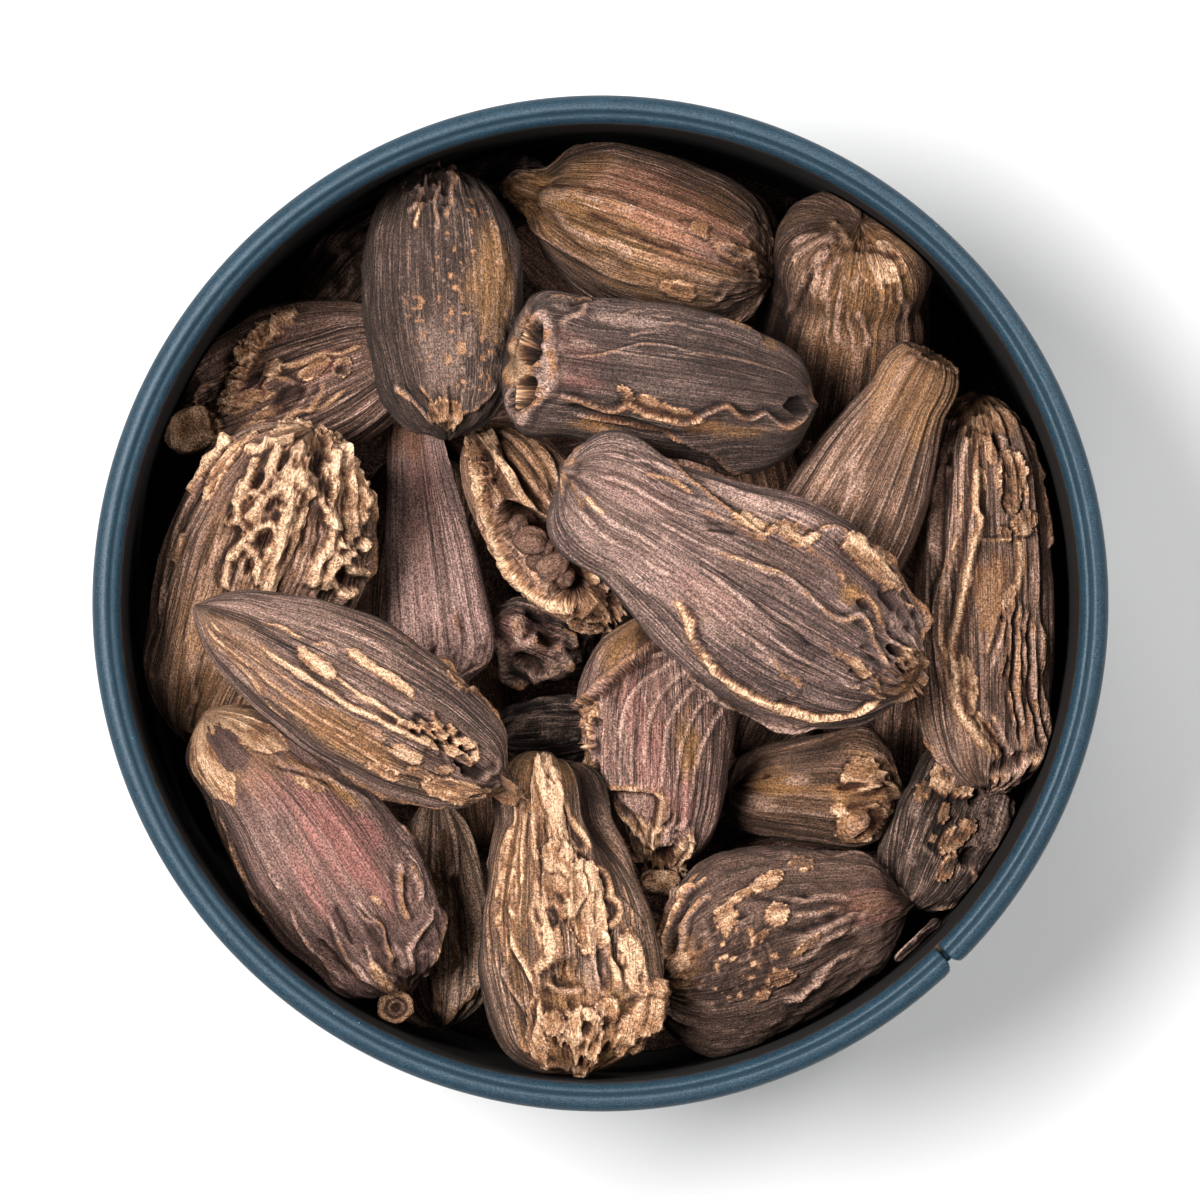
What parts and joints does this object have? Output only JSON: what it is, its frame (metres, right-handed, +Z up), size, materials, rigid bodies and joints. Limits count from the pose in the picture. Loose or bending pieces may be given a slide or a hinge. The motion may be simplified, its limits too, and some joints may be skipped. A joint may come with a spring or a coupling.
{
  "type": "bowl of black cardamom pods",
  "caption": "Round straight-sided metal dish with a rolled rim, heaped with dried black cardamom pods lying every way, one of them split over its seeds.",
  "frame": {"origin": "centre of the flat underside of the dish", "axes": "+Z up, out of the dish's open top; +Y towards the top of the usual picture from above, +X to its right"},
  "size_m": [0.095, 0.095, 0.0445],
  "materials": {
    "tin_paint": "satin slate-blue paint over steel",
    "husk_dark": "dry fibrous husk, dark grey-brown",
    "husk_brown": "dry fibrous husk, brown",
    "husk_red": "dry fibrous husk, reddish mauve",
    "husk_tan": "dry crinkled husk, tan peel over brown",
    "seed_skin": "dull lumpy seeds under a thin skin"
  },
  "bodies": {
    "root": {"tin": "tin_paint", "pod_bed": "husk_dark", "pod_shrivelled": "husk_dark", "pod_low_dark": "husk_dark", "pod_low_top": "husk_dark", "pod_crumpled": "husk_dark", "pod_left_upper": "husk_dark", "pod_bottom_right": "husk_dark", "pod_upper_left": "husk_dark", "pod_open_mouth": "husk_dark", "pod_left_striped": "husk_dark", "pod_centre_big": "husk_dark", "husk_chip": "husk_dark", "pod_crescent": "husk_brown", "pod_low_upper_left": "husk_brown", "pod_low_right": "husk_brown", "pod_low_bottom_left": "husk_brown", "pod_top": "husk_brown", "pod_cone": "husk_brown", "pod_slender": "husk_red", "pod_centre_pink": "husk_red", "pod_lower_left": "husk_red", "pod_small_ochre": "husk_tan", "pod_split": "husk_tan", "pod_left_crusted": "husk_tan", "pod_top_right": "husk_tan", "pod_right": "husk_tan", "pod_bottom": "husk_tan", "pod_split_seeds": "seed_skin"}
  },
  "joints": []
}
